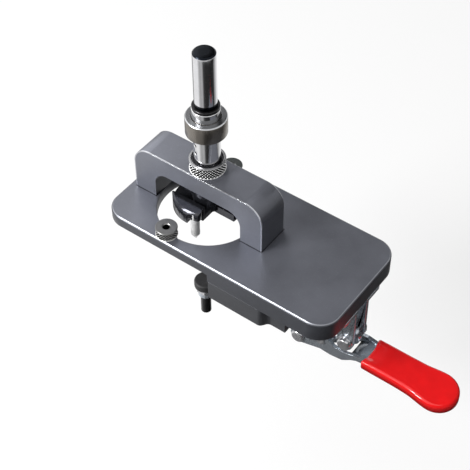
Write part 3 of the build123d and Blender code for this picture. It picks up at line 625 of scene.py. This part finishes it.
def makeShank():
    # The journal in the quill, the ring's groove, the shoulder above it and the ground part for the chuck.
    s = shank
    edge = s["chamfer"]
    profile = roundCorners([
        (0.0, s["low"], 0.0), (s["journal"], s["low"], 0.1), (s["journal"], s["grooveLow"], 0.05),
        (s["groove"], s["grooveLow"], 0.05), (s["groove"], s["shoulder"], 0.05),
        (s["radius"], s["shoulder"], 0.1), (s["radius"], s["top"] - edge, 0.15),
        (s["radius"] - edge, s["top"], 0.15), (0.0, s["top"], 0.0)])
    piece = turned("drillShank", fillIn(profile, s["cell"]))
    finishPiece(piece, "drill_shank", "bit", "shank")


grip = {
    "root": 95.7, "waist": 122.0, "endCentre": 133.3, "rootHalf": 8.7, "waistHalf": 9.1, "endHalf": 10.5,
    "rootSlope": 0.03, "waistSlope": 0.06, "endSlope": 0.0, "top": -33.7, "thickness": 5.9,
    "rounding": 1.5, "corner": 1.4, "bow": 1.1, "bend": 116.5, "droop": 1.43, "droopPower": 1.4, "past": 1.0,
    "dish": 1.0, "dishRun": 6.0, "trough": 5.6, "troughPower": 6, "midStart": 4.0, "paintedShadeOver": 0.6,
}
gripSteps = {"side": 80, "end": 60, "corner": 9, "root": 26, "edge": 8}


def gripHalfWidth(x):
    # Two cubic pieces that meet at the waist with one slope.
    g = grip
    places = [g["root"], g["waist"], g["endCentre"]]
    halves = [g["rootHalf"], g["waistHalf"], g["endHalf"]]
    slopes = [g["rootSlope"], g["waistSlope"], g["endSlope"]]
    half = np.full_like(x, g["endHalf"])
    for i in (0, 1):
        run = places[i + 1] - places[i]
        t = (x - places[i]) / run
        curve = ((2 * t ** 3 - 3 * t ** 2 + 1) * halves[i] + (t ** 3 - 2 * t ** 2 + t) * run * slopes[i]
                 + (3 * t ** 2 - 2 * t ** 3) * halves[i + 1] + (t ** 3 - t ** 2) * run * slopes[i + 1])
        half = np.where((t >= 0) & (t <= 1), curve, half)
    return half


def gripOutline():
    # The grip from above, as one closed row of points: front side, round end, back side, root.
    g, steps = grip, gripSteps
    cornerX = g["root"] + g["corner"]
    cornerY = gripHalfWidth(np.array([cornerX]))[0] - g["corner"]
    x = np.linspace(cornerX, g["endCentre"], steps["side"])
    turn = np.linspace(-np.pi / 2, np.pi / 2, steps["end"])[1:-1]
    quarter = np.linspace(0, np.pi / 2, steps["corner"])[1:]
    rootY = np.linspace(cornerY, -cornerY, steps["root"])[1:-1]
    front = np.stack([x, -gripHalfWidth(x)], axis=-1)
    end = np.stack([g["endCentre"] + g["endHalf"] * np.cos(turn), g["endHalf"] * np.sin(turn)], axis=-1)
    back = front[::-1] * (1, -1)
    backCorner = np.stack([
        cornerX - g["corner"] * np.sin(quarter), cornerY + g["corner"] * np.cos(quarter)], axis=-1)
    root = np.stack([g["root"] + 0 * rootY, rootY], axis=-1)
    frontCorner = backCorner[::-1] * (1, -1)
    return np.vstack([front, end, back, backCorner, root, frontCorner])


def makeGrip():
    # The outline is stepped inward by q (1 - cos a) while the height follows q sin a, which rounds both
    # edges, and then each row shrinks on to the middle line. Near the root the top is dished between its two
    # walls, and the root's edge bows away from its corners. The droop grows from the bend to just past the
    # end, as a power of the share of the way.
    g = grip
    ring = gripOutline()
    along = np.roll(ring, -1, axis=0) - np.roll(ring, 1, axis=0)
    along = along / np.linalg.norm(along, axis=1, keepdims=True)
    outward = np.stack([along[:, 1], -along[:, 0]], axis=-1)
    q = g["rounding"]
    wall = g["thickness"] / 2 - q
    turn = np.linspace(-np.pi / 2, 0, gripSteps["edge"])
    inset = np.concatenate([q * (1 - np.cos(turn)), q * (1 - np.cos(turn[::-1]))])
    height = np.concatenate([q * np.sin(turn) - wall, wall - q * np.sin(turn[::-1])])
    rows = ring[:, None] - inset[None, :, None] * outward[:, None]
    middleX = np.clip(ring[:, 0], g["root"] + g["midStart"], g["endCentre"])
    middleLine = np.stack([middleX, 0 * middleX], axis=-1)
    share = np.array([0.12, 0.26, 0.42, 0.6, 0.8, 1.0])
    shrink = rows[:, -1:] * (1 - share[:, None]) + middleLine[:, None] * share[:, None]
    plan = np.concatenate([shrink[:, ::-1], rows, shrink], axis=1)
    below, above = np.full(len(share), height[0]), np.full(len(share), height[-1])
    lift = np.concatenate([below, height, above])[None] + 0 * plan[..., 0]
    x, y = plan[..., 0], plan[..., 1]
    far = g["endCentre"] + g["endHalf"] + g["past"]
    droop = g["droop"] * (np.clip(x - g["bend"], 0, None) / (far - g["bend"])) ** g["droopPower"]
    across = np.clip(1 - (y / g["trough"]) ** g["troughPower"], 0, 1)
    near = np.exp(-((x - g["root"]) / g["dishRun"]) ** 2)
    z = g["top"] - g["thickness"] / 2 + lift - droop - g["dish"] * near * across * (lift > 0)
    x = x + g["bow"] * near * np.clip(1 - (y / g["rootHalf"]) ** 2, 0, 1)
    # How far down the side each point is, for the painted shade on the grip's sides.
    down = np.clip((height[-1] - lift) / (g["paintedShadeOver"] * g["thickness"]), 0, 1)
    piece = meshFromGrid("dippedGrip", np.stack([x, y, z], axis=-1), groove=down)
    finishPiece(piece, "grip", "handle", "vinyl")


makeKnurledRing()
makePilotBush(-pilotY, "pilot_bush_front", "bushFront")
makePilotBush(pilotY, "pilot_bush_back", "bushBack")
makeSleeve()
makeGuideBush()
makeShank()
makeGrip()
print("stage: turned pieces and grip")


# Floor, light and camera, with every place and size in metres

studio = {  # metres, colours and strengths
    "floorHeight": -0.118, "floorHalf": 6.0, "floorGlow": 0.62, "skyLight": 0.35,
    "floorColour": (0.90, 0.90, 0.90), "fibreColour": (0.85, 0.85, 0.85),
}


def seenDirectly(f):
    # 1 for the rays that show the background: from the camera, in a reflection and through glass.
    path = f.add("ShaderNodeLightPath").socket.node
    camera, glossy, through = (
        Wire(f, path.outputs[kind]) for kind in ("Is Camera Ray", "Is Glossy Ray", "Is Transmission Ray"))
    return camera.most(glossy).most(through)


def flatSheet(name, half, tall, z=0.0):
    # A level rectangle of four corners, given by its two half sides and its height.
    corners = [(-half, -tall, z), (half, -tall, z), (half, tall, z), (-half, tall, z)]
    mesh = bpy.data.meshes.new(name)
    mesh.from_pydata(corners, [], [(0, 1, 2, 3)])
    sheet = bpy.data.objects.new(name, mesh)
    bpy.context.scene.collection.objects.link(sheet)
    return sheet


def makeFloor():
    floor = flatSheet("floor", studio["floorHalf"], studio["floorHalf"], studio["floorHeight"])
    f = Finish("floorPaper")
    fibre = f.noise(f.place(), 0.4, 3.0)
    tone = f.blendColour(fibre * 0.1, studio["floorColour"], studio["fibreColour"])
    paper = f.add("ShaderNodeBsdfDiffuse", {}, {"Color": tone})
    glow = f.add("ShaderNodeEmission", {}, {"Color": (1, 1, 1, 1), "Strength": 1.0})
    share = seenDirectly(f) * studio["floorGlow"]
    both = f.add("ShaderNodeMixShader", {}, {0: share, 1: paper, 2: glow})
    f.add("ShaderNodeOutputMaterial", {}, {"Surface": both})
    floor.data.materials.append(f.material)


def onlyReflected(screen):
    # Out of the picture and out of the light, so that bright metal shows it and nothing else changes.
    screen.visible_camera = False
    screen.visible_shadow = False
    screen.visible_diffuse = False


reflector = {
    "inner": 0.03, "radius": 0.152, "low": -0.1172, "high": 0.008, "steps": 96,
    "shades": [  # direction round the drill's axis in degrees from +X, and how white the reflector is there
        (-163, 1.0), (-119, 1.0), (-110, 0.6), (-96, 0.4), (-82, 0.5), (-74, 0.4), (-65, 0.06), (-49, 0.03),
        (10, 0.02), (36, 0.04), (47, 0.4), (60, 0.5), (76, 0.9), (97, 1.0), (127, 0.6), (157, 0.2),
        (177, 0.7)],
}


def makeReflector():
    # A shallow pan round the object, x = R cos a, y = R sin a, whose shade follows a in soft stripes.
    r = reflector
    a = np.linspace(-np.pi, np.pi, r["steps"], endpoint=False)[:, None]
    out = np.array([r["inner"], r["radius"], r["radius"]])[None, :] + 0 * a
    z = np.array([r["low"], r["low"], r["high"]])[None, :] + 0 * a
    points = np.stack([out * np.cos(a), out * np.sin(a), z], axis=-1) / mm
    band = meshFromGrid("reflector", points)
    f = Finish("reflectorCloth")
    x, y = f.split(f.place())[:2]
    turn = f.add("ShaderNodeMath", {"operation": "ARCTAN2"}, {0: y, 1: x}) / (2 * math.pi) + 0.5
    stops = [(angle / 360 + 0.5, level) for angle, level in r["shades"]]
    shade = f.add("ShaderNodeValToRGB", {"stops": stops}, {"Fac": turn})
    glow = f.add("ShaderNodeEmission", {}, {"Color": shade, "Strength": 1.0})
    f.add("ShaderNodeOutputMaterial", {}, {"Surface": glow})
    band.data.materials.append(f.material)
    onlyReflected(band)


ceilingCard = {  # metres and colours
    "place": (0.03, 0.40, 0.46), "aim": (0.05, 0.0, 0.0), "size": (0.64, 0.5),
    "dark": (0.010, 0.010, 0.012), "pale": (0.02, 0.02, 0.022),
}


def turnTowards(thing, place, aim, forward):
    # Stands it at a place with its forward axis on the point that it aims at.
    thing.location = place
    thing.rotation_euler = (Vector(aim) - Vector(place)).to_track_quat(forward, "Y").to_euler()


def makeCeilingCard():
    # A dark card that stands out of the picture and takes the glare off the flat tops.
    c = ceilingCard
    card = flatSheet("ceilingCard", c["size"][0] / 2, c["size"][1] / 2)
    turnTowards(card, c["place"], c["aim"], "Z")
    f = Finish("ceilingCardCloth")
    weave = f.noise(f.place(), 0.6, 2.0)
    tone = f.blendColour(weave, c["dark"], c["pale"])
    card.data.materials.append(f.shade(colour=tone, rough=0.9, specular=0.1))
    onlyReflected(card)


def makeSky():
    # A plain white sky: its own strength lights the object, and where it is seen it is white.
    world = bpy.data.worlds.new("studioSky")
    bpy.context.scene.world = world
    world.use_nodes = True
    world.node_tree.nodes.clear()
    f = Finish("skyNodes")
    bpy.data.materials.remove(f.material)
    f.tree = world.node_tree
    plain = f.add("ShaderNodeBackground", {}, {"Color": (1, 1, 1, 1), "Strength": studio["skyLight"]})
    white = f.add("ShaderNodeBackground", {}, {"Color": (1, 1, 1, 1), "Strength": 1.0})
    both = f.add("ShaderNodeMixShader", {}, {0: seenDirectly(f), 1: plain, 2: white})
    f.add("ShaderNodeOutputWorld", {}, {"Surface": both})


lamps = {  # where each hangs, what it aims at and its two sides, in metres, and its power in watts
    "keyLamp": {"place": (-0.35, -0.66, 0.49), "aim": (0.02, 0, 0), "size": (0.35, 0.35), "power": 9.8},
    "fillLamp": {"place": (-0.6, 0.1, 0.5), "aim": (0.02, 0, 0), "size": (0.9, 0.9), "power": 2.5},
    "rimLamp": {"place": (0.1, 0.8, 0.5), "aim": (0, 0, 0), "size": (0.8, 0.3), "power": 1.0},
}


def makeLamp(name, place, aim, size, power):
    data = bpy.data.lights.new(name, "AREA")
    data.shape = "RECTANGLE"
    data.size, data.size_y = size
    data.energy = power
    lamp = bpy.data.objects.new(name, data)
    turnTowards(lamp, place, aim, "-Z")
    bpy.context.scene.collection.objects.link(lamp)


view = {  # angles in radians, places in metres, the lens and the picture's width behind it in millimetres
    "azimuth": 0.64623, "elevation": 0.82543, "roll": -0.0108, "distance": 0.59605,
    "target": (0.017999, -0.003147, 0.0), "lens": 94.49, "sensor": 36.0, "nearest": 0.01, "farthest": 20.0,
}


def makeCamera():
    v = view
    level = math.cos(v["elevation"])
    back = Vector((math.sin(v["azimuth"]) * level, -math.cos(v["azimuth"]) * level, math.sin(v["elevation"])))
    right = (-back).cross(Vector((0, 0, 1))).normalized()
    up = right.cross(-back)
    c, s = math.cos(v["roll"]), math.sin(v["roll"])
    across = c * right + s * up
    upward = c * up - s * right
    data = bpy.data.cameras.new("photoCamera")
    data.lens = v["lens"]
    data.sensor_width = v["sensor"]
    data.sensor_fit = "HORIZONTAL"
    data.clip_start = v["nearest"]
    data.clip_end = v["farthest"]
    camera = bpy.data.objects.new("photoCamera", data)
    facing = Matrix((across, upward, back)).transposed().to_4x4()
    camera.matrix_world = Matrix.Translation(Vector(v["target"]) + back * v["distance"]) @ facing
    bpy.context.scene.collection.objects.link(camera)
    bpy.context.scene.camera = camera


makeFloor()
makeSky()
for name, lamp in lamps.items():
    makeLamp(name, **lamp)
makeReflector()
makeCeilingCard()
makeCamera()
bpy.context.scene.view_settings.view_transform = "Standard"
print("stage: floor, light and camera")
